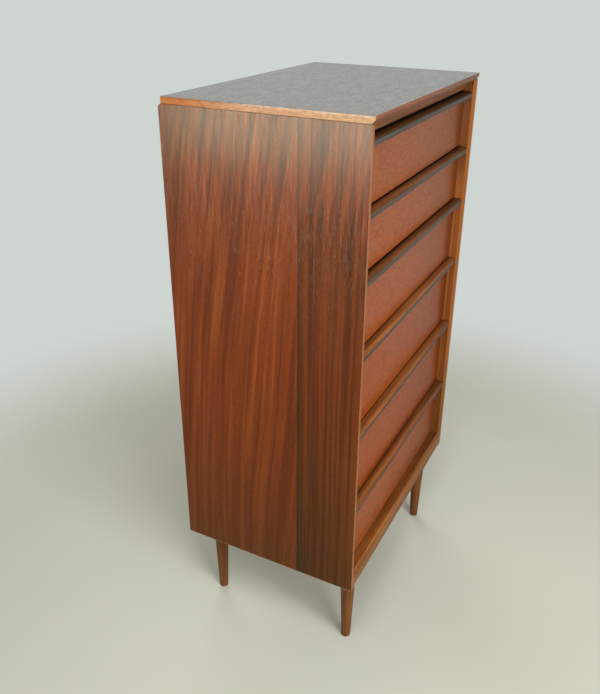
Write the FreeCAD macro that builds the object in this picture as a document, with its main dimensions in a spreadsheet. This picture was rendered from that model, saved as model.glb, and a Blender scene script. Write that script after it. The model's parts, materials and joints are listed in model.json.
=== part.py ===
import FreeCAD, Part
import math
import os
import Sketcher

# Tallboy: a veneered case on four turned legs, with six side-hung drawers.
# The front faces -Y, +Z is up, and the origin lies on the floor under the middle of the case.

SIZES = (
    ("total_height", "1200"),
    ("case_width", "616"),
    ("case_depth", "412"),
    ("leg_height", "213.5"),
    # Sides
    ("side_thickness", "16"),
    ("bevel_width", "8"),
    ("bevel_depth", "4.8"),
    ("rebate_width", "8"),
    ("rebate_depth", "6.7"),
    ("back_corner_cut", "5"),
    # Top
    ("top_thickness", "13"),
    ("top_overhang", "2.5"),
    ("front_lipping_depth", "10"),
    ("end_lipping_width", "5"),
    ("under_bevel_depth", "5"),
    ("under_bevel_height", "6.5"),
    # Rails, bottom and back
    ("rail_thickness", "16"),
    ("top_rail_height", "22.5"),
    ("bottom_rail_height", "38.5"),
    ("bottom_rail_lift", "4"),
    ("bottom_thickness", "16"),
    ("back_thickness", "4"),
    ("back_fit_gap", "0.5"),
    ("back_top_drop", "3"),
    # Legs and bearers
    ("leg_top_diameter", "36.5"),
    ("leg_foot_diameter", "21"),
    ("foot_chamfer", "2"),
    ("leg_side_inset", "70.4"),
    ("leg_front_inset", "36.5"),
    ("leg_back_inset", "39.2"),
    ("tenon_diameter", "20"),
    ("tenon_length", "15"),
    ("bearer_width", "60"),
    ("bearer_thickness", "20"),
    ("bearer_end_gap", "2"),
    ("screw_diameter", "4"),
    ("screw_head_diameter", "8"),
    ("screw_head_height", "2.6"),
    ("screw_length", "30"),
    # Drawer fronts and lips
    ("front_recess", "22.5"),
    ("front_thickness", "16"),
    ("drawer_gap", "3"),
    ("drawer_side_gap", "1.5"),
    ("lip_height", "12"),
    ("lip_setback", "4.5"),
    ("lip_nose_cut", "4.2"),
    ("lip_rounding", "14"),
    ("strip_height", "8"),
    ("strip_thickness", "1.2"),
    ("cove_rise", "4.5"),
    ("cove_wall", "4"),
    # Drawer boxes
    ("box_side_thickness", "12"),
    ("box_back_gap", "18"),
    ("box_lift", "5"),
    ("box_drop", "4"),
    ("tail_length", "10"),
    ("tail_flare", "1.7"),
    ("tail_pitch", "24"),
    ("box_back_thickness", "12"),
    ("box_back_inset", "10"),
    ("box_back_drop", "5"),
    ("housing_depth", "4"),
    ("box_bottom_thickness", "4"),
    ("box_bottom_lift", "8"),
    ("box_groove_depth", "5"),
    ("box_groove_play", "0.2"),
    # Runners
    ("runner_thickness", "8"),
    ("runner_height", "14"),
    ("runner_groove_depth", "7"),
    ("runner_play", "0.5"),
    ("runner_front_setback", "24"),
    ("runner_stop_gap", "0.3"),
    ("cut_overrun", "10"),
)

# Heights of the six drawers, top to bottom, as shares of the height that they fill together.
DRAWER_HEIGHT_SHARES = (0.1345, 0.1336, 0.1641, 0.1908, 0.1984, 0.1786)
# Width of a dovetail at its root, as a share of the tails' spacing.
TAIL_ROOT_SHARE = 0.5
FEWEST_TAILS = 2
# Places of the bearer screws, as shares of the bearer's length.
SCREW_PLACE_SHARES = (0.3, 0.7)

DERIVED = (
    ("half_width", "Sizes.case_width / 2"),
    ("inner_width", "Sizes.case_width - 2 * Sizes.side_thickness"),
    ("inner_half", "Derived.inner_width / 2"),
    ("top_depth", "Sizes.case_depth + Sizes.top_overhang - Sizes.rebate_depth"),
    ("top_front_y", "-(Sizes.case_depth + Sizes.top_overhang) / 2"),
    ("front_y", "Derived.top_front_y + Sizes.top_overhang"),
    ("back_y", "Derived.front_y + Sizes.case_depth"),
    ("rebate_y", "Derived.back_y - Sizes.rebate_depth"),
    ("rail_back_y", "Derived.front_y + Sizes.rail_thickness"),
    ("side_height", "Sizes.total_height - Sizes.top_thickness - Sizes.leg_height"),
    ("top_under_z", "Sizes.total_height - Sizes.top_thickness"),
    ("bottom_rail_z", "Sizes.leg_height + Sizes.bottom_rail_lift"),
    ("opening_low_z", "Derived.bottom_rail_z + Sizes.bottom_rail_height"),
    ("opening_high_z", "Derived.top_under_z - Sizes.top_rail_height"),
    ("bottom_under_z", "Derived.opening_low_z - Sizes.bottom_thickness"),
    ("bearer_under_z", "Derived.bottom_under_z - Sizes.bearer_thickness"),
    ("leg_side_x", "Derived.half_width - Sizes.leg_side_inset"),
    ("leg_front_y", "Derived.front_y + Sizes.leg_front_inset"),
    ("leg_back_y", "Derived.back_y - Sizes.leg_back_inset"),
    ("bearer_y", "Derived.rail_back_y + Sizes.bearer_end_gap"),
    ("bearer_length", "Derived.rebate_y - Sizes.bearer_end_gap - Derived.bearer_y"),
    ("face_y", "Derived.front_y + Sizes.front_recess"),
    ("lip_y", "Derived.front_y + Sizes.lip_setback"),
    ("lip_projection", "Sizes.front_recess - Sizes.lip_setback"),
    ("lip_depth", "Derived.lip_projection + Sizes.front_thickness"),
    ("cove_half", "(Derived.lip_projection - Sizes.cove_wall) / 2"),
    ("cove_radius", "(Derived.cove_half ^ 2 + Sizes.cove_rise ^ 2) / (2 * Sizes.cove_rise)"),
    ("drawer_width", "Derived.inner_width - 2 * Sizes.drawer_side_gap"),
    ("drawer_half", "Derived.drawer_width / 2"),
    ("box_length", "Derived.rebate_y - Sizes.box_back_gap - Derived.face_y"),
    ("box_inner_width", "Derived.drawer_width - 2 * Sizes.box_side_thickness"),
    ("tail_start", "Sizes.front_thickness - Sizes.tail_length"),
    ("box_groove_y", "Sizes.front_thickness - Sizes.box_groove_depth"),
    ("box_bottom_z", "Sizes.box_lift + Sizes.box_bottom_lift"),
    ("box_bottom_top_z", "Derived.box_bottom_z + Sizes.box_bottom_thickness"),
    ("box_back_y", "Derived.box_length - Sizes.box_back_inset - Sizes.box_back_thickness"),
    ("runner_y", "Sizes.front_thickness + Sizes.runner_front_setback"),
    ("groove_y", "Derived.runner_y - Sizes.runner_stop_gap"),
)

doc = FreeCAD.newDocument("Tallboy")
sizes = doc.addObject("Spreadsheet::Sheet", "Sizes")
derived = doc.addObject("App::VarSet", "Derived")
sub_parts = []


def fill_sheet():
    for row, (alias, number) in enumerate(SIZES, start=1):
        sizes.set(f"A{row}", alias)
        sizes.set(f"B{row}", number)
        sizes.setAlias(f"B{row}", alias)
    doc.recompute()


def derive(name, formula):
    derived.addProperty("App::PropertyFloat", name, "Derived")
    derived.setExpression(name, formula)


def derive_drawers():
    """Bottom, height and front-board height of each drawer, from the top one down."""
    count = len(DRAWER_HEIGHT_SHARES)
    gaps = f"{count + 1} * Sizes.drawer_gap"
    derive("filled_height", f"Derived.opening_high_z - Derived.opening_low_z - {gaps}")
    above = "Derived.opening_high_z"
    for number, share in enumerate(DRAWER_HEIGHT_SHARES, start=1):
        derive(f"height_{number}", f"Derived.filled_height * {share}")
        derive(f"bottom_{number}", f"{above} - Sizes.drawer_gap - Derived.height_{number}")
        derive(f"board_{number}", f"Derived.height_{number} - Sizes.lip_height")
        derive(f"box_top_{number}", f"Derived.board_{number} - Sizes.box_drop")
        above = f"Derived.bottom_{number}"


def publish(item, label):
    """Gives a finished sub-part its name and lists it."""
    item.Label = label
    sub_parts.append(item)
    return item


def place(item, x="0", y="0", z="0"):
    for axis, formula in (("x", x), ("y", y), ("z", z)):
        item.setExpression(f"Placement.Base.{axis}", formula)


def box(name, length, width, height, x, y, z):
    item = doc.addObject("Part::Box", name)
    item.setExpression("Length", length)
    item.setExpression("Width", width)
    item.setExpression("Height", height)
    place(item, x, y, z)
    return item


def cylinder(name, radius, height, x, y, z):
    item = doc.addObject("Part::Cylinder", name)
    item.setExpression("Radius", radius)
    item.setExpression("Height", height)
    place(item, x, y, z)
    return item


def cut(name, base, tool):
    item = doc.addObject("Part::Cut", name)
    item.Base = base
    item.Tool = tool
    return item


def group(name, items):
    item = doc.addObject("Part::Compound", name)
    item.Links = items
    return item


def mirrored(name, source):
    """The same piece on the other side of the case's middle plane."""
    item = doc.addObject("Part::Mirroring", name)
    item.Source = source
    item.Base = FreeCAD.Vector(0, 0, 0)
    item.Normal = FreeCAD.Vector(1, 0, 0)
    return item


def new_body(name, x="0", y="0", z="0"):
    body = doc.addObject("PartDesign::Body", name)
    place(body, x, y, z)
    return body


def new_sketch(body, role, offset=None):
    """A sketch on one of the body's own origin planes, moved along its normal by offset."""
    sketch = body.newObject("Sketcher::SketchObject", f"{body.Name}_sketch")
    plane = [item for item in body.Origin.OriginFeatures if item.Role == role][0]
    sketch.AttachmentSupport = (plane, [""])
    sketch.MapMode = "FlatFace"
    if offset:
        sketch.setExpression("AttachmentOffset.Base.z", offset)
    return sketch


def fix_point(sketch, line, point, across, up):
    """Holds a point of a sketch at a place given by two formulas, from the sketch's origin."""
    for kind, formula, axis in (("DistanceX", across, -2), ("DistanceY", up, -1)):
        if formula == "0":
            sketch.addConstraint(Sketcher.Constraint("PointOnObject", line, point, axis))
        else:
            held = Sketcher.Constraint(kind, -1, 1, line, point, 1.0)
            index = sketch.addConstraint(held)
            sketch.setExpression(f"Constraints[{index}]", formula)


def outline(sketch, points):
    """A closed outline of straight lines through points given as pairs of formulas."""
    count = len(points)
    first = sketch.GeometryCount
    turn = 2 * math.pi / count
    corners = [FreeCAD.Vector(math.cos(k * turn), math.sin(k * turn), 0) for k in range(count)]
    for k in range(count):
        sketch.addGeometry(Part.LineSegment(corners[k], corners[(k + 1) % count]), False)
    for k in range(count):
        following = first + (k + 1) % count
        sketch.addConstraint(Sketcher.Constraint("Coincident", first + k, 2, following, 1))
    for k, (across, up) in enumerate(points):
        fix_point(sketch, first + k, 1, across, up)


def rectangle(sketch, low_across, low_up, high_across, high_up):
    corners = (
        (low_across, low_up),
        (high_across, low_up),
        (high_across, high_up),
        (low_across, high_up),
    )
    outline(sketch, corners)


def circle(sketch, across, up, radius):
    line = sketch.addGeometry(Part.Circle(), False)
    fix_point(sketch, line, 3, across, up)
    index = sketch.addConstraint(Sketcher.Constraint("Radius", line, 1.0))
    sketch.setExpression(f"Constraints[{index}]", radius)


def pad(body, sketch, length, both_ways=False, backwards=False):
    feature = body.newObject("PartDesign::Pad", f"{body.Name}_pad")
    feature.Profile = (sketch, [""])
    feature.setExpression("Length", length)
    feature.SideType = "Symmetric" if both_ways else "One side"
    feature.Reversed = backwards
    return feature


def pocket(body, sketch, length, both_ways=False, forwards=False):
    """Cuts against the sketch's normal, or along it where forwards is set, and checks the loss."""
    doc.recompute()
    before = body.Shape.Volume
    feature = body.newObject("PartDesign::Pocket", f"{body.Name}_pocket")
    feature.Profile = (sketch, [""])
    feature.setExpression("Length", length)
    feature.SideType = "Symmetric" if both_ways else "One side"
    feature.Reversed = forwards
    doc.recompute()
    if body.Shape.Volume >= before:
        raise RuntimeError(f"{feature.Name} cuts nothing")
    return feature


def edges_where(shape, test):
    """Names of the edges whose two ends both pass a test."""
    names = []
    for number, edge in enumerate(shape.Edges, start=1):
        if all(test(vertex.Point) for vertex in edge.Vertexes):
            names.append(f"Edge{number}")
    return names


def near(value, wanted):
    return math.isclose(value, wanted, abs_tol=Part.Precision.confusion())


def fillet(body, base, names, radius):
    if not names:
        raise RuntimeError(f"no edge of {body.Name} to round")
    feature = body.newObject("PartDesign::Fillet", f"{body.Name}_fillet")
    feature.Base = (base, names)
    feature.setExpression("Radius", radius)
    return feature


# Case


def frame_bevel():
    """The frustum that bevels the inner front edges of the sides and the bottom rail, mitred."""
    tool = doc.addObject("Part::Wedge", "frame_bevel")
    tool.setExpression("Xmin", "-Derived.inner_half - Sizes.bevel_width")
    tool.setExpression("Xmax", "Derived.inner_half + Sizes.bevel_width")
    tool.setExpression("X2min", "-Derived.inner_half")
    tool.setExpression("X2max", "Derived.inner_half")
    tool.setExpression("Ymin", "0")
    tool.setExpression("Ymax", "Sizes.bevel_depth")
    tool.setExpression("Zmin", "Derived.opening_low_z - Sizes.bevel_width")
    tool.setExpression("Z2min", "Derived.opening_low_z")
    tool.setExpression("Zmax", "Sizes.total_height")
    tool.setExpression("Z2max", "Sizes.total_height")
    place(tool, "0", "Derived.front_y", "0")
    return tool


def sides(bevel):
    body = new_body("side_board", "-Derived.half_width", "Derived.front_y", "Sizes.leg_height")
    face = new_sketch(body, "YZ_Plane")
    corners = (
        ("0", "0"),
        ("Sizes.case_depth", "0"),
        ("Sizes.case_depth", "Derived.side_height - Sizes.back_corner_cut"),
        ("Sizes.case_depth - Sizes.back_corner_cut", "Derived.side_height"),
        ("0", "Derived.side_height"),
    )
    outline(face, corners)
    pad(body, face, "Sizes.side_thickness")
    rebate = new_sketch(body, "XY_Plane")
    rectangle(
        rebate,
        "Sizes.side_thickness - Sizes.rebate_width",
        "Sizes.case_depth - Sizes.rebate_depth",
        "Sizes.side_thickness + Sizes.cut_overrun",
        "Sizes.case_depth + Sizes.cut_overrun",
    )
    pocket(body, rebate, "Derived.side_height", forwards=True)
    left = publish(cut("left_side", body, bevel), "left_side")
    publish(mirrored("right_side", left), "right_side")


def top():
    panel = box(
        "top_panel",
        "Sizes.case_width - 2 * Sizes.end_lipping_width",
        "Derived.top_depth - Sizes.front_lipping_depth",
        "Sizes.top_thickness",
        "-Derived.half_width + Sizes.end_lipping_width",
        "Derived.top_front_y + Sizes.front_lipping_depth",
        "Derived.top_under_z",
    )
    publish(panel, "top_panel")
    front = new_body("front_lipping", "0", "Derived.top_front_y", "Derived.top_under_z")
    front_section = new_sketch(front, "YZ_Plane")
    outline(front_section, edge_section("Sizes.front_lipping_depth"))
    pad(front, front_section, "Sizes.case_width - 2 * Sizes.end_lipping_width", both_ways=True)
    publish(front, "top_front_lipping")
    end = new_body("end_lipping", "-Derived.half_width", "Derived.top_front_y", "Derived.top_under_z")
    end_section = new_sketch(end, "YZ_Plane")
    outline(end_section, edge_section("Derived.top_depth"))
    pad(end, end_section, "Sizes.end_lipping_width")
    publish(end, "top_left_lipping")
    publish(mirrored("other_end_lipping", end), "top_right_lipping")


def edge_section(depth):
    """Section of the top's front edge: square above, bevelled back below."""
    return (
        ("0", "Sizes.under_bevel_height"),
        ("Sizes.under_bevel_depth", "0"),
        (depth, "0"),
        (depth, "Sizes.top_thickness"),
        ("0", "Sizes.top_thickness"),
    )


def rails(bevel):
    upper = box(
        "top_rail",
        "Derived.inner_width",
        "Sizes.rail_thickness",
        "Sizes.top_rail_height",
        "-Derived.inner_half",
        "Derived.face_y",
        "Derived.opening_high_z",
    )
    publish(upper, "top_rail")
    lower = box(
        "rail_board",
        "Derived.inner_width",
        "Sizes.rail_thickness",
        "Sizes.bottom_rail_height",
        "-Derived.inner_half",
        "Derived.front_y",
        "Derived.bottom_rail_z",
    )
    publish(cut("bottom_rail", lower, bevel), "bottom_rail")


def back():
    panel = box(
        "back_panel",
        "Derived.inner_width + 2 * (Sizes.rebate_width - Sizes.back_fit_gap)",
        "Sizes.back_thickness",
        "Sizes.total_height - Sizes.back_top_drop - Derived.bottom_under_z",
        "-Derived.inner_half - Sizes.rebate_width + Sizes.back_fit_gap",
        "Derived.rebate_y",
        "Derived.bottom_under_z",
    )
    publish(panel, "back_panel")


def screws():
    """Countersunk screws that go up through the bearers into the bottom panel."""
    items = []
    for number, share in enumerate(SCREW_PLACE_SHARES, start=1):
        y = f"Derived.bearer_y + Derived.bearer_length * {share}"
        head = doc.addObject("Part::Cone", f"screw_head_{number}")
        head.setExpression("Radius1", "Sizes.screw_head_diameter / 2")
        head.setExpression("Radius2", "Sizes.screw_diameter / 2")
        head.setExpression("Height", "Sizes.screw_head_height")
        place(head, "-Derived.leg_side_x", y, "Derived.bearer_under_z")
        shank = cylinder(
            f"screw_shank_{number}",
            "Sizes.screw_diameter / 2",
            "Sizes.screw_length",
            "-Derived.leg_side_x",
            y,
            "Derived.bearer_under_z",
        )
        screw = doc.addObject("Part::Fuse", f"screw_{number}")
        screw.Base = head
        screw.Tool = shank
        items.append(screw)
    left = group("left_screws", items)
    right = mirrored("right_screws", left)
    return publish(group("screws", [left, right]), "bearer_screws")


def bottom_and_bearers():
    fasteners = screws()
    board = box(
        "bottom_board",
        "Derived.inner_width",
        "Derived.rebate_y - Derived.rail_back_y",
        "Sizes.bottom_thickness",
        "-Derived.inner_half",
        "Derived.rail_back_y",
        "Derived.bottom_under_z",
    )
    publish(cut("bottom_panel", board, fasteners), "bottom_panel")
    bearer = box(
        "bearer_board",
        "Sizes.bearer_width",
        "Derived.bearer_length",
        "Sizes.bearer_thickness",
        "-Derived.leg_side_x - Sizes.bearer_width / 2",
        "Derived.bearer_y",
        "Derived.bearer_under_z",
    )
    sockets = []
    for name, y in (("front", "Derived.leg_front_y"), ("back", "Derived.leg_back_y")):
        socket = cylinder(
            f"{name}_tenon_socket",
            "Sizes.tenon_diameter / 2",
            "Sizes.tenon_length",
            "-Derived.leg_side_x",
            y,
            "Derived.bearer_under_z",
        )
        sockets.append(socket)
    drilled = cut("drilled_bearer", bearer, group("bearer_holes", sockets + [fasteners]))
    publish(drilled, "left_bearer")
    publish(mirrored("other_bearer", drilled), "right_bearer")


def leg(name, y):
    """A straight taper turned in one piece with its tenon, its foot chamfered."""
    body = new_body(name, "-Derived.leg_side_x", y)
    half = new_sketch(body, "XZ_Plane")
    corners = (
        ("0", "0"),
        ("Sizes.leg_foot_diameter / 2 - Sizes.foot_chamfer", "0"),
        ("Sizes.leg_foot_diameter / 2", "Sizes.foot_chamfer"),
        ("Sizes.leg_top_diameter / 2", "Derived.bearer_under_z"),
        ("Sizes.tenon_diameter / 2", "Derived.bearer_under_z"),
        ("Sizes.tenon_diameter / 2", "Derived.bearer_under_z + Sizes.tenon_length"),
        ("0", "Derived.bearer_under_z + Sizes.tenon_length"),
    )
    outline(half, corners)
    turned = body.newObject("PartDesign::Revolution", f"{name}_turned")
    turned.Profile = (half, [""])
    turned.ReferenceAxis = (half, ["V_Axis"])
    return body


def legs():
    for row, y in (("front", "Derived.leg_front_y"), ("back", "Derived.leg_back_y")):
        left = leg(f"{row}_left_leg", y)
        right = mirrored(f"{row}_right_leg", left)
        publish(group(f"{row}_pair", [left, right]), f"{row}_legs")


def runners():
    """Hardwood strips on the case sides, one for each drawer's groove."""
    strips = []
    for number in range(1, len(DRAWER_HEIGHT_SHARES) + 1):
        strip = box(
            f"runner_{number}",
            "Sizes.runner_thickness",
            "Derived.box_length - Derived.runner_y",
            "Sizes.runner_height",
            "-Derived.inner_half",
            "Derived.face_y + Derived.runner_y",
            f"Derived.bottom_{number} + {groove_middle(number)} - Sizes.runner_height / 2",
        )
        strips.append(strip)
    left = publish(group("left_strips", strips), "left_runners")
    publish(mirrored("right_strips", left), "right_runners")


# Drawers


def groove_middle(number):
    """Height of the runner groove's middle above the drawer's lower edge."""
    return f"(Sizes.box_lift + Derived.box_top_{number}) / 2"


def tails(sketch, number):
    """Dovetails, evenly spaced up the drawer side, flared towards the drawer's face."""
    count = tail_count(number)
    pitch = f"(Derived.box_top_{number} - Sizes.box_lift) / {count}"
    root = f"{pitch} * {TAIL_ROOT_SHARE} / 2"
    tip = f"({root} + Sizes.tail_flare)"
    for tail in range(count):
        middle = f"(Sizes.box_lift + {pitch} * ({tail} + 1 / 2))"
        corners = (
            ("Sizes.front_thickness", f"{middle} - {root}"),
            ("Sizes.front_thickness", f"{middle} + {root}"),
            ("Derived.tail_start", f"{middle} + {tip}"),
            ("Derived.tail_start", f"{middle} - {tip}"),
        )
        outline(sketch, corners)


def tail_count(number):
    side_height = getattr(derived, f"box_top_{number}") - sizes.box_lift
    return max(FEWEST_TAILS, round(side_height / sizes.tail_pitch))


def drawer_front(number, name, z):
    body = new_body(f"{name}_front_body", "0", "Derived.face_y", z)
    board = new_sketch(body, "YZ_Plane")
    rectangle(board, "0", "0", "Sizes.front_thickness", f"Derived.board_{number}")
    pad(body, board, "Derived.drawer_width", both_ways=True)
    for end, forwards in (("-Derived.drawer_half", True), ("Derived.drawer_half", False)):
        sockets = new_sketch(body, "YZ_Plane", end)
        tails(sockets, number)
        pocket(body, sockets, "Sizes.box_side_thickness", forwards=forwards)
    groove = new_sketch(body, "YZ_Plane")
    rectangle(
        groove,
        "Derived.box_groove_y",
        "Derived.box_bottom_z",
        "Sizes.front_thickness + Sizes.cut_overrun",
        "Derived.box_bottom_top_z",
    )
    pocket(body, groove, "Derived.box_inner_width + 2 * Sizes.box_groove_depth", both_ways=True)
    publish(body, f"{name}_front")


def drawer_sides(number, name, z):
    body = new_body(f"{name}_side_body", "-Derived.drawer_half", "Derived.face_y", z)
    board = new_sketch(body, "YZ_Plane")
    top_z = f"Derived.box_top_{number}"
    rectangle(board, "Sizes.front_thickness", "Sizes.box_lift", "Derived.box_length", top_z)
    pad(body, board, "Sizes.box_side_thickness")
    joint = new_sketch(body, "YZ_Plane")
    tails(joint, number)
    pad(body, joint, "Sizes.box_side_thickness")
    runner_groove = new_sketch(body, "YZ_Plane")
    middle = groove_middle(number)
    half = "(Sizes.runner_height / 2 + Sizes.runner_play)"
    rectangle(
        runner_groove,
        "Derived.groove_y",
        f"{middle} - {half}",
        "Derived.box_length + Sizes.cut_overrun",
        f"{middle} + {half}",
    )
    pocket(body, runner_groove, "Sizes.runner_groove_depth", forwards=True)
    bottom_groove = new_sketch(body, "YZ_Plane", "Sizes.box_side_thickness")
    rectangle(
        bottom_groove,
        "Derived.box_groove_y",
        "Derived.box_bottom_z",
        "Derived.box_length + Sizes.cut_overrun",
        "Derived.box_bottom_top_z",
    )
    pocket(body, bottom_groove, "Sizes.box_groove_depth")
    housing = new_sketch(body, "YZ_Plane", "Sizes.box_side_thickness")
    rectangle(
        housing,
        "Derived.box_back_y",
        "Derived.box_bottom_top_z",
        "Derived.box_back_y + Sizes.box_back_thickness",
        f"{top_z} + Sizes.cut_overrun",
    )
    pocket(body, housing, "Sizes.housing_depth")
    publish(body, f"{name}_left_side")
    publish(mirrored(f"{name}_other_side", body), f"{name}_right_side")


def drawer_back(number, name, z):
    board = box(
        f"{name}_back_board",
        "Derived.box_inner_width + 2 * Sizes.housing_depth",
        "Sizes.box_back_thickness",
        f"Derived.box_top_{number} - Sizes.box_back_drop - Derived.box_bottom_top_z",
        "-Derived.box_inner_width / 2 - Sizes.housing_depth",
        "Derived.face_y + Derived.box_back_y",
        f"{z} + Derived.box_bottom_top_z",
    )
    publish(board, f"{name}_back")


def drawer_bottom(name, z):
    panel = box(
        f"{name}_bottom_board",
        "Derived.box_inner_width + 2 * Sizes.box_groove_depth - Sizes.box_groove_play",
        "Derived.box_length - Derived.box_groove_y - Sizes.box_groove_play",
        "Sizes.box_bottom_thickness",
        "-Derived.box_inner_width / 2 - Sizes.box_groove_depth + Sizes.box_groove_play / 2",
        "Derived.face_y + Derived.box_groove_y + Sizes.box_groove_play",
        f"{z} + Derived.box_bottom_z",
    )
    publish(panel, f"{name}_bottom")


def drawer_lip(number, name, z):
    """The lip handle: a rounded nose over the front, with a finger cove under it."""
    under = f"{z} + Derived.board_{number}"
    body = new_body(f"{name}_lip_body", "0", "Derived.lip_y", under)
    section = new_sketch(body, "YZ_Plane")
    corners = (
        ("Sizes.strip_thickness", "0"),
        ("Derived.lip_depth", "0"),
        ("Derived.lip_depth", "Sizes.lip_height"),
        ("Sizes.lip_nose_cut", "Sizes.lip_height"),
        ("0", "Sizes.strip_height"),
        ("Sizes.strip_thickness", "Sizes.strip_height"),
    )
    outline(section, corners)
    bar = pad(body, section, "Derived.drawer_width", both_ways=True)
    doc.recompute()
    nose = edges_where(
        bar.Shape, lambda p: near(p.y, sizes.lip_nose_cut) and near(p.z, sizes.lip_height)
    )
    fillet(body, bar, nose, "Sizes.lip_rounding")
    cove = new_sketch(body, "YZ_Plane")
    middle = "Sizes.cove_wall + Derived.cove_half"
    circle(cove, middle, "Sizes.cove_rise - Derived.cove_radius", "Derived.cove_radius")
    pocket(body, cove, "Derived.drawer_width + Sizes.cut_overrun", both_ways=True)
    publish(body, f"{name}_lip")
    strip = box(
        f"{name}_strip_bar",
        "Derived.drawer_width",
        "Sizes.strip_thickness",
        "Sizes.strip_height",
        "-Derived.drawer_half",
        "Derived.lip_y",
        under,
    )
    publish(strip, f"{name}_lip_strip")


def drawers():
    for number in range(1, len(DRAWER_HEIGHT_SHARES) + 1):
        name = f"drawer_{number}"
        z = f"Derived.bottom_{number}"
        drawer_front(number, name, z)
        drawer_sides(number, name, z)
        drawer_back(number, name, z)
        drawer_bottom(name, z)
        drawer_lip(number, name, z)


def check():
    """Stops where an object failed to compute or a sub-part has no valid solid."""
    doc.recompute()
    for item in doc.Objects:
        if "Invalid" in item.State or "Error" in item.State:
            raise RuntimeError(f"{item.Name} failed: {item.State}")
    for item in sub_parts:
        shape = item.Shape
        if shape.isNull() or not shape.isValid() or not shape.Solids:
            raise RuntimeError(f"{item.Label} has no valid solid")


def write():
    os.makedirs("parts", exist_ok=True)
    for item in sub_parts:
        item.Shape.exportStep(f"parts/{item.Label}.step")


fill_sheet()
for derived_name, derived_formula in DERIVED:
    derive(derived_name, derived_formula)
derive_drawers()
doc.recompute()
bevel_tool = frame_bevel()
sides(bevel_tool)
top()
rails(bevel_tool)
bottom_and_bearers()
back()
legs()
runners()
drawers()
check()
write()
print(f"{len(sub_parts)} sub-parts")
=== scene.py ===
import json
import math
from functools import reduce

import bmesh
import bpy
from mathutils import Matrix, Vector

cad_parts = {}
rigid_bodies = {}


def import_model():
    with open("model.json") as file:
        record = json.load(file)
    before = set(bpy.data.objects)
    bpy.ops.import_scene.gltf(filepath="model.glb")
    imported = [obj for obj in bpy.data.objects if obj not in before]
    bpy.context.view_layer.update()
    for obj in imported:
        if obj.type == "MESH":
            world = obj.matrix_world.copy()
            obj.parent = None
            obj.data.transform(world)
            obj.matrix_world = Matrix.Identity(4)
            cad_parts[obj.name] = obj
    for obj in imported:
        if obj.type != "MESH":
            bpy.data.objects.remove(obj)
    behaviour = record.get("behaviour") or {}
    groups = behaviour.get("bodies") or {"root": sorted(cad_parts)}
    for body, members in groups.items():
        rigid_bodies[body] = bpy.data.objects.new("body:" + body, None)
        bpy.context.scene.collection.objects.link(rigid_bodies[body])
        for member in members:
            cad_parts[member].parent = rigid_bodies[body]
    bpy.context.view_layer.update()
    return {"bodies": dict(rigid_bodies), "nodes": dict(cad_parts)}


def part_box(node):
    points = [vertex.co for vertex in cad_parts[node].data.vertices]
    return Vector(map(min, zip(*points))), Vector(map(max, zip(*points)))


# Tallboy: finishes, softened edges, floor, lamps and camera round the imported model.
# Metres. The drawers face -Y and +Z is up. Colours and tints are linear.

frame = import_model()

SIDE_LOW, SIDE_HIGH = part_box("left_side")
LIP_LOW, LIP_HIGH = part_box("drawer_1_lip")
SLAB_LOW, SLAB_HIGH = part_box("top_left_lipping")
FRONT_Y = SIDE_LOW.y
INNER_X = -SIDE_HIGH.x
FACE_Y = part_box("drawer_1_front")[0].y
RAIL_UNDER_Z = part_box("top_rail")[0].z
DRAWER_5_UNDER_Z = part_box("drawer_5_front")[0].z
DRAWER_6_TOP_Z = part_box("drawer_6_front")[1].z

# Camera, solved from the corners and edges that the photograph shows
CAMERA_PLACE = Vector((-1.3874, -0.63345, 1.4028))
CAMERA_AZIMUTH = math.radians(-63.11)
CAMERA_ELEVATION = math.radians(25.81)
CAMERA_ROLL = math.radians(0.433)
CAMERA_LENS = 38.08
CAMERA_SENSOR = 36.0
CAMERA_SHIFT = (-0.0045, -0.0326)

# Veneer of the case sides: a broad back leaf and a narrower front leaf
FRONT_LEAF_WIDTH = 0.131
SEAM_Y = FRONT_Y + FRONT_LEAF_WIDTH
RIBBON_LEAN = 0.105
RIBBON_BEND = 0.08
LEAN_FROM_Z = 0.70
WANDER_WIDTH = 0.030
FEATHER_WIDTH = 0.0035
STRAIGHT_WANDER_WIDTH = 0.006

# Contour figure of the thin boards
BOARD_SWELL = 0.34
CONTOUR_RATE = 62.0
CONTOUR_ALONG_RATE = 1.3

# Marks beside an edge, as offsets from it: where each mark starts and where it is full
SEAM_BAND = (-0.024, 0.0)
SEAM_LINE = (-0.005, -0.0025)
SEAM_BLUR = (-0.0004, 0.0004)
SIDE_FRONT_ARRIS = (0.0005, 0.00015)
SIDE_UNDER_EDGE = (0.0024, 0.00072)
SIDE_INNER_FACE = (0.0006, 0.0002)
SIDE_LOWER_SHADE = (0.4865, 0.0)
SIDE_FOOT_SHADE = (0.1265, 0.01)
FACE_LINE_START = (-0.0060, -0.0045)
FACE_LINE_END = (0.0, -0.0010)
# Painted shade along the fifth drawer's lower edge
FRONT_LOW_EDGE_SHADE = (0.0205, 0.0035)
# Painted shadow in the gap behind the lips
LIP_GAP_SHADE = (-0.003, 0.0)
# Painted shadow at the lips' right tip
LIP_TIP_SHADOW = (-0.0060, -0.0035)
# Painted shadow along the top rail's lower arris
RAIL_UNDER_SHADOW = (0.0026, 0.0016)
SLAB_ARRIS = (-0.0045, -0.0010)
# Painted shadow along the lower edge of the top's end lippings
SLAB_UNDER_SHADOW = (0.0012, 0.0004)

# Shade on the lips: it grows from behind the nose until just short of the front's face
LIP_NOSE_DEPTH = 0.004
LIP_ROOT_DEPTH = 0.002

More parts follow.
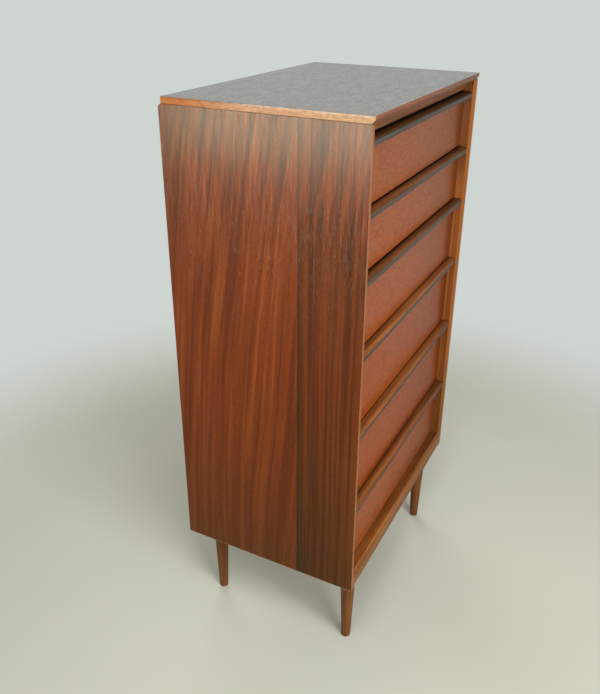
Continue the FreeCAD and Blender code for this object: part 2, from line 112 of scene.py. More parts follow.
# Grain: rates are cells to a metre, and spans are the noise values between which a mark shows
DEPTH_RATE = 9.0
WANDER_RATES = (4.0, 5.0, 2.2)
SWELL_RATES = (2.2, 5.0, 5.0)
FLOOR_CLOUD_RATES = (2.0, 2.0, 0.0)
PORE_ACROSS_RATE = 1500.0
PORE_ALONG_RATE = 42.0
PORE_SPAN = (0.60, 0.72)
FLECK_SPAN = (0.42, 0.68)
CLOUD_SPAN = (0.35, 0.65)
FINER_ACROSS = 6
FINER_ALONG = 4
STREAK_SHARE = 0.62
FINE_SHARE = 0.38
RELIEF = 0.0004
RAISED_GRAIN = 0.5
SUNK_PORES = -0.8
ROUGHNESS_SPREAD = 0.12

# Softened edges
FINE_EDGE = 0.0004
SOFT_EDGE = 0.0008
WELD_GAP = 0.00001
EDGE_ANGLE = math.radians(30)
EDGE_SEGMENTS = 2

# A face faces up where its direction rises at least this much
UP_FACING = 0.9

# Floor
FLOOR_RADIUS = 3.2
FLOOR_CORNERS = 96
FLOOR_FADE = (0.85, 1.7)

# Colours
WHITE = (1.0, 1.0, 1.0)
RIBBON_DARK = (0.192, 0.0365, 0.0056)
RIBBON_MEAN = (0.286, 0.056, 0.0089)
RIBBON_LIGHT = (0.395, 0.090, 0.0160)
LEAF_DARK = (0.121, 0.026, 0.0042)
LEAF_LIGHT = (0.255, 0.056, 0.0092)
SEAM_DARK = (0.075, 0.024, 0.0060)
LIPPING_TAN = (0.362, 0.115, 0.0175)
UNDER_TAN = (0.480, 0.330, 0.130)
INSIDE_DARK = (0.180, 0.054, 0.013)
INSIDE_LIGHT = (0.315, 0.098, 0.023)
INSIDE_LINE = (0.300, 0.110, 0.032)
FRONT_DARK = (0.318, 0.0665, 0.0076)
FRONT_LIGHT = (0.468, 0.1045, 0.0122)
TOP_DARK = (0.058, 0.041, 0.028)
TOP_LIGHT = (0.150, 0.107, 0.073)
TEAK_DARK = (0.228, 0.073, 0.0155)
TEAK_LIGHT = (0.405, 0.146, 0.0345)
RED_TEAK_DARK = (0.175, 0.055, 0.017)
RED_TEAK_LIGHT = (0.265, 0.093, 0.031)
SLAB_DARK = (0.185, 0.042, 0.0065)
SLAB_LIGHT = (0.285, 0.074, 0.0125)
LIP_DARK = (0.214, 0.069, 0.0160)
LIP_LIGHT = (0.375, 0.128, 0.031)
LEG_DARK = (0.180, 0.061, 0.0145)
LEG_LIGHT = (0.297, 0.109, 0.0270)
PALE_BACK = (0.680, 0.205, 0.0325)
PALE_MIDDLE = (0.745, 0.385, 0.190)
PALE_FRONT = (0.710, 0.410, 0.200)
PALE_WORN = (0.880, 0.700, 0.520)
PALE_GRAIN_DARK = (0.73, 0.69, 0.65)
PALE_GRAIN_LIGHT = (1.03, 1.03, 1.03)
EBONY_DARK = (0.048, 0.037, 0.027)
EBONY_LIGHT = (0.085, 0.069, 0.053)
INNER_DARK = (0.250, 0.130, 0.060)
INNER_LIGHT = (0.400, 0.230, 0.115)
BOX_DARK = (0.400, 0.240, 0.120)
BOX_LIGHT = (0.560, 0.380, 0.210)
BOARD_DARK = (0.330, 0.190, 0.095)
BOARD_LIGHT = (0.460, 0.290, 0.155)
STEEL_DARK = (0.30, 0.29, 0.28)
STEEL_LIGHT = (0.46, 0.45, 0.43)
FLOOR_DARK = (0.680, 0.695, 0.575)
FLOOR_LIGHT = (0.745, 0.760, 0.645)
FLOOR_BOUNCE = (0.25, 0.24, 0.20)
ROOM_LIGHT = (0.98, 1.0, 0.97)
ROOM_STRENGTH = 0.22
BACKGROUND = (0.62, 0.66, 0.63)
BACKGROUND_STRENGTH = 1.0
TOP_SHEEN = (0.90, 0.98, 1.0)
SIDE_SHEEN = (0.78, 0.98, 0.78)


class Shader:
    """One material and the nodes that feed its principled shader."""

    def __init__(self, name):
        self.material = bpy.data.materials.new(name)
        self.material.use_nodes = True
        self.nodes = self.material.node_tree.nodes
        self.links = self.material.node_tree.links
        self.surface = self.nodes["Principled BSDF"]
        place = self.nodes.new("ShaderNodeTexCoord").outputs["Object"]
        self.x, self.y, self.z = self.split(place)

    def split(self, vector):
        """The three parts of a vector."""
        node = self.nodes.new("ShaderNodeSeparateXYZ")
        self.links.new(vector, node.inputs[0])
        return node.outputs

    def feed(self, socket, value):
        """Links a socket to another one, or gives it a colour or a number."""
        if isinstance(value, bpy.types.NodeSocket):
            self.links.new(value, socket)
        elif socket.type == "RGBA":
            socket.default_value = (*value, 1.0)
        else:
            socket.default_value = value

    def math(self, operation, first, second=0.0):
        node = self.nodes.new("ShaderNodeMath")
        node.operation = operation
        for socket, value in zip(node.inputs, (first, second)):
            self.feed(socket, value)
        return node.outputs[0]

    def times(self, first, second):
        return self.math("MULTIPLY", first, second)

    def plus(self, first, second):
        return self.math("ADD", first, second)

    def higher(self, first, second):
        return self.math("MAXIMUM", first, second)

    def weigh(self, *parts):
        """Sum of values, each times its weight."""
        return reduce(self.plus, [self.times(value, weight) for value, weight in parts])

    def between(self, share, start, end):
        """Number that goes from start to end as the share goes from 0 to 1."""
        return self.plus(self.times(share, end - start), start)

    def vector(self, x, y, z):
        node = self.nodes.new("ShaderNodeCombineXYZ")
        for socket, value in zip(node.inputs, (x, y, z)):
            self.feed(socket, value)
        return node.outputs[0]

    def cells(self, *rates):
        """Vector with so many cells to a metre along X, Y and Z."""
        return self.vector(*(self.times(part, rate) for part, rate in zip((self.x, self.y, self.z), rates)))

    def grain(self, along, across_rate, along_rate):
        """Vector whose cells are long along the grain and narrow across it."""
        rates = [across_rate] * 3
        rates["XYZ".index(along)] = along_rate
        return self.cells(*rates)

    def noise(self, vector, detail=2.0, roughness=0.5, distortion=0.0):
        """Soft noise from 0 to 1, one cell to a unit of the vector."""
        node = self.nodes.new("ShaderNodeTexNoise")
        node.inputs["Scale"].default_value = 1.0
        node.inputs["Detail"].default_value = detail
        node.inputs["Roughness"].default_value = roughness
        node.inputs["Distortion"].default_value = distortion
        self.links.new(vector, node.inputs["Vector"])
        return node.outputs["Fac"]

    def step(self, value, start, full, to_start=0.0, to_full=1.0):
        """Smooth step of a value: 0 up to start, 1 from full on, in either direction."""
        node = self.nodes.new("ShaderNodeMapRange")
        node.interpolation_type = "SMOOTHSTEP"
        numbers = (start, full, to_start, to_full)
        self.feed(node.inputs["Value"], value)
        for socket, number in zip(("From Min", "From Max", "To Min", "To Max"), numbers):
            self.feed(node.inputs[socket], number)
        return node.outputs[0]

    def near(self, value, edge, offsets):
        """Smooth step between two offsets from an edge."""
        start, full = offsets
        return self.step(value, edge + start, edge + full)

    def mix(self, share, first, second, blend="MIX"):
        node = self.nodes.new("ShaderNodeMix")
        node.data_type = "RGBA"
        node.blend_type = blend
        colours = [socket for socket in node.inputs if socket.type == "RGBA"]
        self.feed(node.inputs[0], share)
        self.feed(colours[0], first)
        self.feed(colours[1], second)
        return [socket for socket in node.outputs if socket.type == "RGBA"][0]

    def multiply(self, first, second):
        return self.mix(1.0, first, second, "MULTIPLY")

    def tints(self, colour, *rows):
        """Darkens, lightens or warms a colour: each row is a share and the tint where it is 1."""
        for share, tint in rows:
            colour = self.multiply(colour, self.mix(share, WHITE, tint))
        return colour

    def normal(self):
        """The three parts of the surface's direction."""
        return self.split(self.nodes.new("ShaderNodeNewGeometry").outputs["Normal"])

    def relief(self, fine, dash, strength=0.25):
        """Slightly raised fine grain and sunk pores."""
        node = self.nodes.new("ShaderNodeBump")
        node.inputs["Strength"].default_value = strength
        node.inputs["Distance"].default_value = RELIEF
        self.links.new(self.weigh((fine, RAISED_GRAIN), (dash, SUNK_PORES)), node.inputs["Height"])
        self.links.new(node.outputs[0], self.surface.inputs["Normal"])

    def finish(self, colour, roughness, gloss=0.15):
        self.feed(self.surface.inputs["Base Color"], colour)
        self.feed(self.surface.inputs["Roughness"], roughness)
        self.surface.inputs["Specular IOR Level"].default_value = gloss
        return self.material


def scaled(colour, share):
    return tuple(share * part for part in colour)


def rough(shader, fine, level):
    """Roughness round a level, rising with the fine grain."""
    return shader.plus(shader.times(fine, ROUGHNESS_SPREAD), level - ROUGHNESS_SPREAD / 2)


def pores(shader, along):
    """Open pores: short dark dashes along the grain, from 0 to 1."""
    dashes = shader.noise(shader.grain(along, PORE_ACROSS_RATE, PORE_ALONG_RATE), detail=1.0)
    return shader.step(dashes, *PORE_SPAN)


def wood(name, along, dark, light, streaks, figure, open_pores=0.35):
    """Straight-grained wood: streaks to a metre across the grain and figure along it, fine grain, pores.

    Gives the shader, its colour and its fine grain.
    """
    shader = Shader(name)
    streak = shader.noise(shader.grain(along, streaks, figure), 3.0, 0.55, distortion=0.4)
    fine = shader.noise(shader.grain(along, streaks * FINER_ACROSS, figure * FINER_ALONG), 4.0, 0.6)
    dash = pores(shader, along)
    tone = shader.weigh((shader.step(streak, 0.3, 0.7), STREAK_SHARE), (fine, FINE_SHARE))
    colour = shader.mix(shader.step(tone, 0.15, 0.85), dark, light)
    colour = shader.mix(shader.times(dash, open_pores), colour, scaled(dark, 0.45))
    shader.relief(fine, dash)
    return shader, colour, fine


def timber(name, along, dark, light, streaks, figure, level):
    """Wood without marks of its own, rough to the level."""
    shader, colour, fine = wood(name, along, dark, light, streaks, figure)
    return shader.finish(colour, rough(shader, fine, level))


def front_veneer():
    """Calm straight-grained veneer: clouds and short flecks, with painted shade and painted reflection that
    differ from drawer to drawer.
    """
    shader, colour, fine = wood("front_veneer", "X", FRONT_DARK, FRONT_LIGHT, 220.0, 50.0, open_pores=0.18)
    cloud = shader.noise(shader.grain("X", 52.0, 5.0), 4.0, 0.6)
    fleck = shader.noise(shader.grain("X", 320.0, 130.0))
    # Painted shade: the top drawer, under the top's overhang
    drawer_1 = shader.step(shader.z, 1.02, 1.035)
    # Painted reflection: less blue and green on the lower drawers, where less pale light is reflected,
    # given partly back on the lowest drawer and near the floor
    less_reflection_low = shader.step(shader.z, 0.90, 0.62)
    drawer_6 = shader.step(shader.z, DRAWER_5_UNDER_Z, DRAWER_6_TOP_Z)
    floor_reflection = shader.step(shader.z, 0.33, 0.27)
    # Painted shade along the lower edge of the fifth drawer
    low_edge_5_shade = shader.times(
        shader.near(shader.z, DRAWER_5_UNDER_Z, FRONT_LOW_EDGE_SHADE),
        shader.step(shader.z, DRAWER_6_TOP_Z, DRAWER_5_UNDER_Z),
    )
    # Painted shade: darker towards the right and darkest at the right end beside the side, less so on the
    # lower drawers
    right_part_shade = shader.step(shader.x, -0.10, 0.22)
    right_end = shader.step(shader.x, 0.225, 0.272)
    low_right_end = shader.times(right_end, shader.step(shader.z, 0.56, 0.46))
    # Painted shade on faces that look down
    facing_down_shade = shader.step(shader.normal()[2], -0.2, -0.6)
    colour = shader.tints(
        colour,
        (shader.step(cloud, *CLOUD_SPAN), (0.94, 0.93, 0.92)),
        (shader.step(fleck, *FLECK_SPAN), (0.86, 0.84, 0.82)),
        (less_reflection_low, (1.0, 0.84, 0.32)),
        (drawer_6, (1.07, 1.17, 2.2)),
        (floor_reflection, (0.99, 1.24, 4.0)),
        (low_edge_5_shade, (0.60, 0.58, 0.75)),
        (drawer_1, (0.88, 0.93, 1.0)),
        (right_part_shade, (0.81, 0.87, 0.92)),
        (right_end, (0.70, 0.61, 0.59)),
        (low_right_end, (1.28, 1.28, 1.6)),
        (facing_down_shade, (0.25, 0.22, 0.20)),
    )
    return shader.finish(colour, rough(shader, fine, 0.36), gloss=0.21)


def lip_teak():
    """Handle lips, with painted shade: darker on the upper drawers and darkest on the top one, darker into
    the gap behind each, towards the right and at the right tip.
    """
    shader, colour, fine = wood("lip_teak", "X", LIP_DARK, LIP_LIGHT, 140.0, 5.0)
    # Tones by height: painted shade on the upper lips, darkest on the highest; the lowest is a little
    # darker too
    upper = shader.step(shader.z, 0.80, 0.88)
    highest = shader.step(shader.z, 1.08, 1.12)
    lowest = shader.step(shader.z, 0.50, 0.45)
    # Painted shade on the lip top, growing towards the face behind it, weaker on the lower lips and on the
    # highest
    behind = shader.step(shader.y, LIP_LOW.y + LIP_NOSE_DEPTH, FACE_Y - LIP_ROOT_DEPTH)
    behind = shader.times(behind, shader.between(upper, 0.6, 1.0))
    behind = shader.times(behind, shader.between(highest, 1.0, 0.3))
    # Painted shadow in the gap behind the lip, weaker on the lower lips
    gap = shader.times(shader.near(shader.y, FACE_Y, LIP_GAP_SHADE), shader.between(upper, 0.65, 1.0))
    # Painted shade towards the right, and painted shadow at the right tip
    right_half_shade = shader.step(shader.x, 0.0, 0.27)
    right_tip_shadow = shader.near(shader.x, LIP_HIGH.x, LIP_TIP_SHADOW)
    colour = shader.tints(
        colour,
        (upper, (0.50, 0.51, 0.51)),
        (lowest, (0.86, 0.86, 0.90)),
        (highest, (0.48, 0.53, 0.58)),
        (behind, (0.64, 0.60, 0.56)),
        (gap, (0.12, 0.10, 0.09)),
        (right_half_shade, (0.80, 0.80, 0.84)),
        (right_tip_shadow, (0.40, 0.38, 0.36)),
    )
    return shader.finish(colour, rough(shader, fine, 0.42), gloss=0.18)


def ebonised():
    """Near-black stained strips of the lips, warmer on the lower drawers: painted reflection, as they
    reflect less pale light there.
    """
    shader, colour, fine = wood("ebonised_edge", "X", EBONY_DARK, EBONY_LIGHT, 300.0, 6.0)
    # Painted reflection: the lower strips are warmer, with less of the pale reflection
    lower = shader.step(shader.z, 0.85, 0.50)
    colour = shader.tints(colour, (lower, (1.0, 0.80, 0.55)))
    return shader.finish(colour, rough(shader, fine, 0.42))


def slab_face():
    """Front lipping of the top, redder and paler towards its left end."""
    shader, colour, fine = wood("slab_edge", "X", SLAB_DARK, SLAB_LIGHT, 160.0, 6.0)
    right = shader.step(shader.x, -0.05, 0.25)
    colour = shader.tints(colour, (right, (0.68, 0.80, 0.90)))
    return shader.finish(colour, rough(shader, fine, 0.36), gloss=0.24)


def top_rail():
    """Red teak of the rail under the top, with painted shadow along its lower arris."""
    shader, colour, fine = wood("red_teak_across", "X", RED_TEAK_DARK, RED_TEAK_LIGHT, 160.0, 6.0)
    # Painted shadow along the rail's lower arris, over the gap to the top lip
    arris = shader.near(shader.z, RAIL_UNDER_Z, RAIL_UNDER_SHADOW)
    colour = shader.tints(colour, (arris, (0.16, 0.22, 0.22)))
    return shader.finish(colour, rough(shader, fine, 0.42), gloss=0.12)


def top_veneer():
    """Figured veneer of the top: fine grain, soft clouds and dark flecks, which are duller too."""
    shader, colour, fine = wood("top_veneer", "X", TOP_DARK, TOP_LIGHT, 150.0, 26.0)
    cloud = shader.noise(shader.grain("X", 45.0, 20.0), 3.0, 0.6)
    fleck = shader.noise(shader.grain("X", 240.0, 110.0))
    colour = shader.tints(
        colour,
        (shader.step(cloud, *CLOUD_SPAN), (0.86, 0.86, 0.86)),
        (shader.step(fleck, *FLECK_SPAN), (0.50, 0.50, 0.50)),
    )
    haze = shader.weigh((cloud, 0.09), (fleck, 0.13))
    return shader.finish(colour, shader.plus(haze, 0.25), gloss=0.3)


def rail_teak():
    """Teak of the bottom rail and panel, with painted shade on the ledge under the lowest drawer, deeper
    towards the right.
    """
    shader, colour, fine = wood("teak_across", "X", TEAK_DARK, TEAK_LIGHT, 140.0, 5.0)
    # Painted shade on the ledge, in the recess under the lowest drawer, deeper towards the right
    ledge = shader.step(shader.normal()[2], 0.80, 0.95)
    ledge_right_shade = shader.times(ledge, shader.step(shader.x, -0.15, 0.28))
    colour = shader.tints(colour, (ledge, (0.78, 0.72, 0.66)), (ledge_right_shade, (0.60, 0.58, 0.56)))
    return shader.finish(colour, rough(shader, fine, 0.42), gloss=0.10)


def end_lipping():
    """Pale solid lipping on the ends of the top, deeper at the back, worn light along its top arris."""
    shader, grain, fine = wood("end_lipping", "Y", PALE_GRAIN_DARK, PALE_GRAIN_LIGHT, 420.0, 110.0)
    from_middle = shader.step(shader.y, 0.17, 0.02)
    at_front = shader.step(shader.y, -0.05, -0.19)
    colour = shader.mix(from_middle, PALE_BACK, PALE_MIDDLE)
    colour = shader.mix(at_front, colour, PALE_FRONT)
    arris = shader.near(shader.z, SLAB_HIGH.z, SLAB_ARRIS)
    arris_at_back = shader.times(arris, shader.step(shader.y, -0.02, 0.03))
    colour = shader.tints(colour, (arris_at_back, (0.72, 0.76, 0.90)))
    patch = shader.noise(shader.grain("Y", 90.0, 26.0))
    worn = shader.times(arris, shader.step(patch, 0.35, 0.60))
    worn = shader.times(worn, shader.step(shader.y, 0.08, -0.02))
    colour = shader.mix(shader.times(worn, 0.8), colour, PALE_WORN)
    # Painted shadow along the lipping's lower edge, where the top overhangs the side
    under_shadow = shader.near(shader.z, SLAB_LOW.z, SLAB_UNDER_SHADOW)
    colour = shader.tints(shader.multiply(colour, grain), (under_shadow, (0.18, 0.14, 0.12)))
    return shader.finish(colour, rough(shader, fine, 0.40), gloss=0.08)


def upright(shader, across, across_rate, up_rate, detail=2.0, roughness=0.5):
    """Noise on the case sides, drawn out upright, with so many cells to a metre across and up."""
    depth = shader.times(shader.x, DEPTH_RATE)
    place = shader.vector(depth, shader.times(across, across_rate), shader.times(shader.z, up_rate))
    return shader.noise(place, detail, roughness)


def ribbon_leaf(shader, across):
    """Back leaf, with broad and narrow ribbons that are calmer low down: its colour, its fine grain."""
    broad = upright(shader, across, 36.0, 1.1, detail=1.0)
    narrow = upright(shader, across, 100.0, 2.8)
    fine = upright(shader, across, 400.0, 11.0, detail=3.0, roughness=0.6)
    ribbon = shader.weigh((broad, 0.30), (narrow, 0.52), (fine, 0.18))
    colour = shader.mix(shader.step(ribbon, 0.38, 0.50), RIBBON_DARK, RIBBON_MEAN)
    colour = shader.mix(shader.step(ribbon, 0.50, 0.61), colour, RIBBON_LIGHT)
    calmer = shader.step(shader.z, 0.66, 0.38, to_full=0.34)
    colour = shader.mix(calmer, colour, RIBBON_MEAN)
    # Painted sheen colour: the very top is made less red, to go with the sheen there
    topmost = shader.step(shader.z, 1.06, 1.16)
    return shader.tints(colour, (topmost, (0.90, 1.0, 1.0))), fine


def straight_leaf(shader, straight):
    """Front leaf, with straight bands that are darkest beside the seam: its colour, its fine lines."""
    bands = upright(shader, straight, 120.0, 1.6, roughness=0.55)
    lines = upright(shader, straight, 380.0, 4.0, roughness=0.6)
    figure = shader.weigh((bands, 0.68), (lines, 0.32))
    colour = shader.mix(shader.step(figure, 0.34, 0.66), LEAF_DARK, LEAF_LIGHT)
    near_seam = shader.near(shader.y, SEAM_Y, SEAM_BAND)
    darker_below = shader.step(shader.z, 1.05, 0.62, to_start=0.30, to_full=0.75)
    colour = shader.mix(shader.times(near_seam, darker_below), colour, SEAM_DARK)
    at_seam = shader.near(shader.y, SEAM_Y, SEAM_LINE)
    colour = shader.mix(shader.times(at_seam, 0.6), colour, SEAM_DARK)
    # Painted sheen colour at the top: warmer and lighter there; low down the leaf is made lighter, least in
    # red
    top = shader.step(shader.z, 0.94, 1.08)
    low = shader.step(shader.z, 0.66, 0.45)
    return shader.tints(colour, (top, (1.30, 1.05, 0.6)), (low, (1.07, 1.21, 1.16))), lines


def painted_sheen_grain(shader, colour, across, straight):
    """Light and dark threads and fine scratches high up on the sides: painted sheen broken up by the grain,
    with the veneer's own scratches.
    """
    thread = upright(shader, across, 66.0, 3.0, detail=4.0, roughness=0.7)
    thread = shader.mix(shader.step(thread, 0.38, 0.64), (1.22, 1.20, 1.14), (0.62, 0.68, 0.72))
    scratch = upright(shader, straight, 260.0, 9.0, roughness=0.6)
    scratch = shader.mix(shader.step(scratch, 0.36, 0.64), (1.16, 1.16, 1.14), (0.78, 0.80, 0.82))
    sheen_grained = shader.multiply(shader.multiply(colour, thread), scratch)
    return shader.mix(shader.step(shader.z, 0.86, 1.06), colour, sheen_grained)


def inner_face(shader, lines):
    """Plain teak of the sides' inner faces, with a paler line just in front of the drawers' faces."""
    colour = shader.mix(shader.step(lines, 0.3, 0.7), INSIDE_DARK, INSIDE_LIGHT)
    line_start = shader.near(shader.y, FACE_Y, FACE_LINE_START)
    line_end = shader.near(shader.y, FACE_Y, FACE_LINE_END)
    colour = shader.mix(shader.times(line_start, line_end), colour, INSIDE_LINE)
    # Painted light and shade by height: darker at the top, lighter below it, and darker again in steps
    # towards the bottom
    top = shader.step(shader.z, 0.96, 1.03)
    below_top = shader.step(shader.z, 1.00, 0.92)
    below_middle = shader.step(shader.z, 0.74, 0.60)
    low = shader.step(shader.z, 0.48, 0.40)
    return shader.tints(
        colour,
        (top, (0.82, 0.78, 0.72)),
        (below_top, (1.38, 1.36, 1.30)),
        (below_middle, (0.86, 0.87, 0.92)),
        (low, (0.86, 0.86, 0.92)),
    )


def side_edges(shader, colour, lines):
    """Light lipping on the sides' front edge and bevel, and a lighter line along their lower edge."""
    front = shader.near(shader.y, FRONT_Y, SIDE_FRONT_ARRIS)
    under = shader.near(shader.z, SIDE_LOW.z, SIDE_UNDER_EDGE)
    forward = shader.step(shader.normal()[1], -0.25, -0.5)
    edges = shader.higher(shader.higher(front, under), forward)
    tan = shader.mix(lines, scaled(LIPPING_TAN, 0.80), scaled(LIPPING_TAN, 1.2))
    tan = shader.mix(under, tan, UNDER_TAN)
    # Painted shade on the lower part of the right side's edges
    low_right = shader.times(shader.step(shader.z, 0.52, 0.38), shader.step(shader.x, 0.0, 0.1))
    return shader.mix(edges, colour, shader.tints(tan, (low_right, (0.76, 0.80, 0.88))))


def case_veneer():
    """Ribbon-figured veneer in two leaves, plain teak on the inner faces, a lipping on the edges."""
    shader = Shader("ribbon_veneer")
    rise = shader.plus(shader.z, -LEAN_FROM_Z)
    lean = shader.weigh((rise, RIBBON_LEAN), (shader.times(rise, rise), RIBBON_BEND))
    wander = shader.noise(shader.cells(*WANDER_RATES), detail=1.0)
    feather = shader.noise(shader.grain("Z", 300.0, 30.0))
    stray = shader.weigh((wander, WANDER_WIDTH), (feather, FEATHER_WIDTH))
    across = shader.plus(shader.plus(shader.y, lean), stray)
    straight = shader.plus(shader.y, shader.times(wander, STRAIGHT_WANDER_WIDTH))

    back_leaf, fine = ribbon_leaf(shader, across)
    front_leaf, lines = straight_leaf(shader, straight)
    colour = shader.mix(shader.near(shader.y, SEAM_Y, SEAM_BLUR), front_leaf, back_leaf)
    fleck = upright(shader, shader.y, 300.0, 130.0)
    colour = shader.tints(colour, (shader.step(fleck, *FLECK_SPAN), (0.85, 0.83, 0.81)))
    colour = painted_sheen_grain(shader, colour, across, straight)
    dash = pores(shader, "Z")
    colour = shader.mix(shader.times(dash, 0.30), colour, SEAM_DARK)

    inside = shader.near(shader.math("ABSOLUTE", shader.x), INNER_X, SIDE_INNER_FACE)
    colour = shader.mix(inside, colour, inner_face(shader, lines))
    lower = shader.near(shader.z, SIDE_LOW.z, SIDE_LOWER_SHADE)
    foot = shader.near(shader.z, SIDE_LOW.z, SIDE_FOOT_SHADE)
    colour = shader.tints(colour, (lower, (0.74, 0.84, 0.74)), (foot, (0.88, 1.0, 1.0)))
    colour = side_edges(shader, colour, lines)
    shader.relief(fine, dash, strength=0.30)
    return shader.finish(colour, rough(shader, fine, 0.21))


def thin_board():
    """Rotary-cut board of the back and the drawer bottoms: wandering contour figure, fine grain, pores."""
    shader = Shader("thin_board")
    swell = shader.noise(shader.cells(*SWELL_RATES), detail=1.0)
    contour = shader.plus(shader.plus(shader.y, shader.z), shader.times(swell, BOARD_SWELL))
    rings = shader.times(contour, CONTOUR_RATE)
    figure = shader.noise(shader.vector(rings, shader.times(shader.x, CONTOUR_ALONG_RATE), 0.0), 3.0, 0.55)
    fine = shader.noise(shader.grain("X", 520.0, 18.0), 3.0, 0.6)
    dash = pores(shader, "X")
    tone = shader.weigh((figure, STREAK_SHARE), (fine, FINE_SHARE))
    colour = shader.mix(shader.step(tone, 0.34, 0.66), BOARD_DARK, BOARD_LIGHT)
    colour = shader.mix(shader.times(dash, 0.30), colour, scaled(BOARD_DARK, 0.5))
    shader.relief(fine, dash)
    return shader.finish(colour, rough(shader, fine, 0.65))


def screw_steel():
    """Plain steel of the bearers' screws."""
    steel = timber("screw_steel", "X", STEEL_DARK, STEEL_LIGHT, 900.0, 200.0, level=0.35)
    steel.node_tree.nodes["Principled BSDF"].inputs["Metallic"].default_value = 1.0
    return steel


def floor_material():
    """Pale floor that fades into the pale background well away from the object, clear from below."""
    shader = Shader("pale_floor")
    cloud = shader.noise(shader.cells(*FLOOR_CLOUD_RATES), detail=3.0)
    colour = shader.mix(cloud, FLOOR_DARK, FLOOR_LIGHT)
    rays = shader.nodes.new("ShaderNodeLightPath")
    seen = shader.higher(rays.outputs["Is Camera Ray"], rays.outputs["Is Glossy Ray"])
    shader.finish(shader.mix(seen, FLOOR_BOUNCE, colour), 0.6, gloss=0.0)
    squares = shader.plus(shader.times(shader.x, shader.x), shader.times(shader.y, shader.y))
    away = shader.step(shader.math("SQRT", squares), *FLOOR_FADE)
    from_below = shader.nodes.new("ShaderNodeNewGeometry").outputs["Backfacing"]
    clear = shader.nodes.new("ShaderNodeBsdfTransparent")
    blend = shader.nodes.new("ShaderNodeMixShader")
    shader.links.new(shader.higher(away, from_below), blend.inputs[0])
    shader.links.new(shader.surface.outputs[0], blend.inputs[1])
    shader.links.new(clear.outputs[0], blend.inputs[2])
    shader.links.new(blend.outputs[0], shader.nodes["Material Output"].inputs["Surface"])
    return shader.material


def dress(node, material, rounding):
    """Gives a node its finish and breaks its sharp edges."""
    item = frame["nodes"][node]
    item.data.materials.clear()
    item.data.materials.append(material)
    if rounding:
        weld = item.modifiers.new("weld", "WELD")
        weld.merge_threshold = WELD_GAP
        bevel = item.modifiers.new("edges", "BEVEL")
        bevel.width = rounding
        bevel.segments = EDGE_SEGMENTS
        bevel.limit_method = "ANGLE"
        bevel.angle_limit = EDGE_ANGLE
        bevel.harden_normals = True


def cover_top(node, material):
    """Carries the veneer of the top over the upper face of a lipping."""
    item = frame["nodes"][node]
    item.data.materials.append(material)
    for face in item.data.polygons:
        if face.normal.z > UP_FACING:
            face.material_index = 1


def materials():
    """Each finish by its short name."""
    return {
        "case": case_veneer(),
        "top": top_veneer(),
        "teak_x": rail_teak(),
        "slab_edge": slab_face(),
        "red_teak": top_rail(),
        "leg": timber("teak_upright", "Z", LEG_DARK, LEG_LIGHT, 150.0, 7.0, level=0.40),
        "lip": lip_teak(),
        "end": end_lipping(),
        "front": front_veneer(),
        "ebony": ebonised(),
        "inner": timber("planed_hardwood", "Y", INNER_DARK, INNER_LIGHT, 90.0, 4.0, level=0.6),
        "box_y": timber("box_wood_endwise", "Y", BOX_DARK, BOX_LIGHT, 80.0, 3.0, level=0.6),
        "box_x": timber("box_wood_across", "X", BOX_DARK, BOX_LIGHT, 80.0, 3.0, level=0.6),
        "board": thin_board(),
        "steel": screw_steel(),
    }


def dress_nodes():
    """Gives each node of the case, and of every drawer, its finish and its rounding."""
    finish = materials()
    plan = {
        "left_side": ("case", FINE_EDGE),
        "right_side": ("case", FINE_EDGE),
        "top_panel": ("top", 0.0),
        "top_front_lipping": ("slab_edge", FINE_EDGE),
        "top_left_lipping": ("end", FINE_EDGE),
        "top_right_lipping": ("end", FINE_EDGE),
        "top_rail": ("red_teak", FINE_EDGE),
        "bottom_rail": ("teak_x", FINE_EDGE),
        "bottom_panel": ("teak_x", 0.0),
        "back_panel": ("board", FINE_EDGE),
        "left_bearer": ("inner", SOFT_EDGE),
        "right_bearer": ("inner", SOFT_EDGE),
        "bearer_screws": ("steel", 0.0),
        "front_legs": ("leg", FINE_EDGE),
        "back_legs": ("leg", FINE_EDGE),
        "left_runners": ("inner", FINE_EDGE),
        "right_runners": ("inner", FINE_EDGE),
    }
    drawer_plan = {
        "front": ("front", FINE_EDGE),
        "lip": ("lip", FINE_EDGE),
        "lip_strip": ("ebony", FINE_EDGE / 2),
        "left_side": ("box_y", FINE_EDGE),
        "right_side": ("box_y", FINE_EDGE),
        "back": ("box_x", FINE_EDGE),
        "bottom": ("board", 0.0),
    }
    for body in frame["bodies"]:
        if body.startswith("drawer_"):
            for part, look in drawer_plan.items():
                plan[f"{body}_{part}"] = look
    for node, (look, rounding) in plan.items():
        dress(node, finish[look], rounding)
    for node in ("top_front_lipping", "top_left_lipping", "top_right_lipping"):
        cover_top(node, finish["top"])


def floor():
    """Round plain floor under the object."""
    mesh = bpy.data.meshes.new("floor")
    form = bmesh.new()
    bmesh.ops.create_circle(form, cap_ends=True, segments=FLOOR_CORNERS, radius=FLOOR_RADIUS)
    form.to_mesh(mesh)
    form.free()
    item = bpy.data.objects.new("floor", mesh)
    item.data.materials.append(floor_material())
    bpy.context.scene.collection.objects.link(item)


def lamp(name, place, target, size, power, colour=WHITE, reaches=("diffuse", "glossy")):
    """Soft rectangular lamp that points at its target, for matt light, for gloss or for both."""
    data = bpy.data.lights.new(name, "AREA")
    data.shape = "RECTANGLE"
    data.size, data.size_y = size
    data.energy = power
    data.color = colour
    item = bpy.data.objects.new(name, data)
    item.location = place
    aim = Vector(target) - Vector(place)
    item.rotation_mode = "QUATERNION"
    item.rotation_quaternion = aim.to_track_quat("-Z", "Y")
    item.visible_camera = False
    item.visible_diffuse = "diffuse" in reaches
    item.visible_glossy = "glossy" in reaches
    bpy.context.scene.collection.objects.link(item)


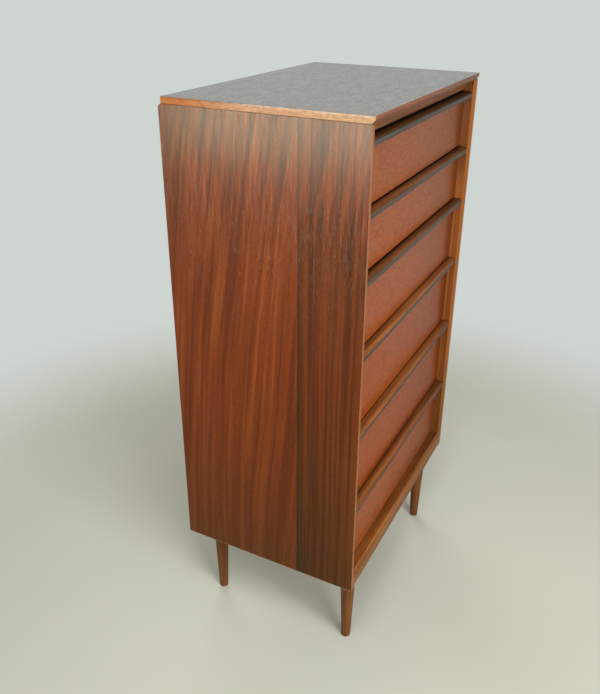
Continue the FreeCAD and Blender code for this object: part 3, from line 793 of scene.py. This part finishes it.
def lamps():
    """A front and a left lamp, a fill from behind, and two that only make the sheen of top and side."""
    lamp(
        "front_lamp",
        place=(-1.35, -2.1, 1.7),
        target=(0.0, 0.0, 0.65),
        size=(1.4, 1.4),
        power=50.0,
    )
    lamp(
        "left_lamp",
        place=(-1.2, -0.4, 2.3),
        target=(-0.2, 0.0, 0.9),
        size=(0.8, 0.8),
        power=16.0,
    )
    lamp(
        "fill_lamp",
        place=(1.9, 1.7, 1.5),
        target=(0.0, 0.0, 0.65),
        size=(1.8, 1.8),
        power=27.0,
        reaches=("diffuse",),
    )
    lamp(
        "top_sheen",
        place=(2.6, 1.3, 2.6),
        target=(0.0, 0.0, 1.2),
        size=(2.6, 2.0),
        power=18.0,
        colour=TOP_SHEEN,
        reaches=("glossy",),
    )
    lamp(
        "side_sheen",
        place=(-2.45, 0.48, 1.19),
        target=(-0.3, 0.48, 1.19),
        size=(2.6, 1.22),
        power=240.0,
        colour=SIDE_SHEEN,
        reaches=("glossy",),
    )


def background():
    """Dim even light from the room, and a pale background where the world itself is seen."""
    world = bpy.data.worlds.new("pale_room")
    world.use_nodes = True
    nodes = world.node_tree.nodes
    links = world.node_tree.links
    room = nodes["Background"]
    room.inputs["Color"].default_value = (*ROOM_LIGHT, 1.0)
    room.inputs["Strength"].default_value = ROOM_STRENGTH
    seen = nodes.new("ShaderNodeBackground")
    seen.inputs["Color"].default_value = (*BACKGROUND, 1.0)
    seen.inputs["Strength"].default_value = BACKGROUND_STRENGTH
    rays = nodes.new("ShaderNodeLightPath")
    either = nodes.new("ShaderNodeMath")
    either.operation = "MAXIMUM"
    blend = nodes.new("ShaderNodeMixShader")
    links.new(rays.outputs["Is Camera Ray"], either.inputs[0])
    links.new(rays.outputs["Is Glossy Ray"], either.inputs[1])
    links.new(either.outputs[0], blend.inputs[0])
    links.new(room.outputs[0], blend.inputs[1])
    links.new(seen.outputs[0], blend.inputs[2])
    links.new(blend.outputs[0], nodes["World Output"].inputs["Surface"])
    bpy.context.scene.world = world


def camera():
    """Camera at the photograph's place, turned by its azimuth, elevation and slight roll."""
    data = bpy.data.cameras.new("camera")
    data.sensor_width = CAMERA_SENSOR
    data.lens = CAMERA_LENS
    data.shift_x, data.shift_y = CAMERA_SHIFT
    level = math.cos(CAMERA_ELEVATION)
    back = Vector((
        math.sin(CAMERA_AZIMUTH) * level,
        -math.cos(CAMERA_AZIMUTH) * level,
        math.sin(CAMERA_ELEVATION),
    ))
    flat_right = Vector((math.cos(CAMERA_AZIMUTH), math.sin(CAMERA_AZIMUTH), 0.0))
    flat_up = back.cross(flat_right)
    right = flat_right * math.cos(CAMERA_ROLL) + flat_up * math.sin(CAMERA_ROLL)
    up = back.cross(right)
    turn = Matrix((right, up, back)).transposed().to_4x4()
    item = bpy.data.objects.new("camera", data)
    item.matrix_world = Matrix.Translation(CAMERA_PLACE) @ turn
    bpy.context.scene.collection.objects.link(item)
    bpy.context.scene.camera = item


dress_nodes()
floor()
lamps()
background()
camera()
bpy.context.scene.view_settings.view_transform = "Standard"
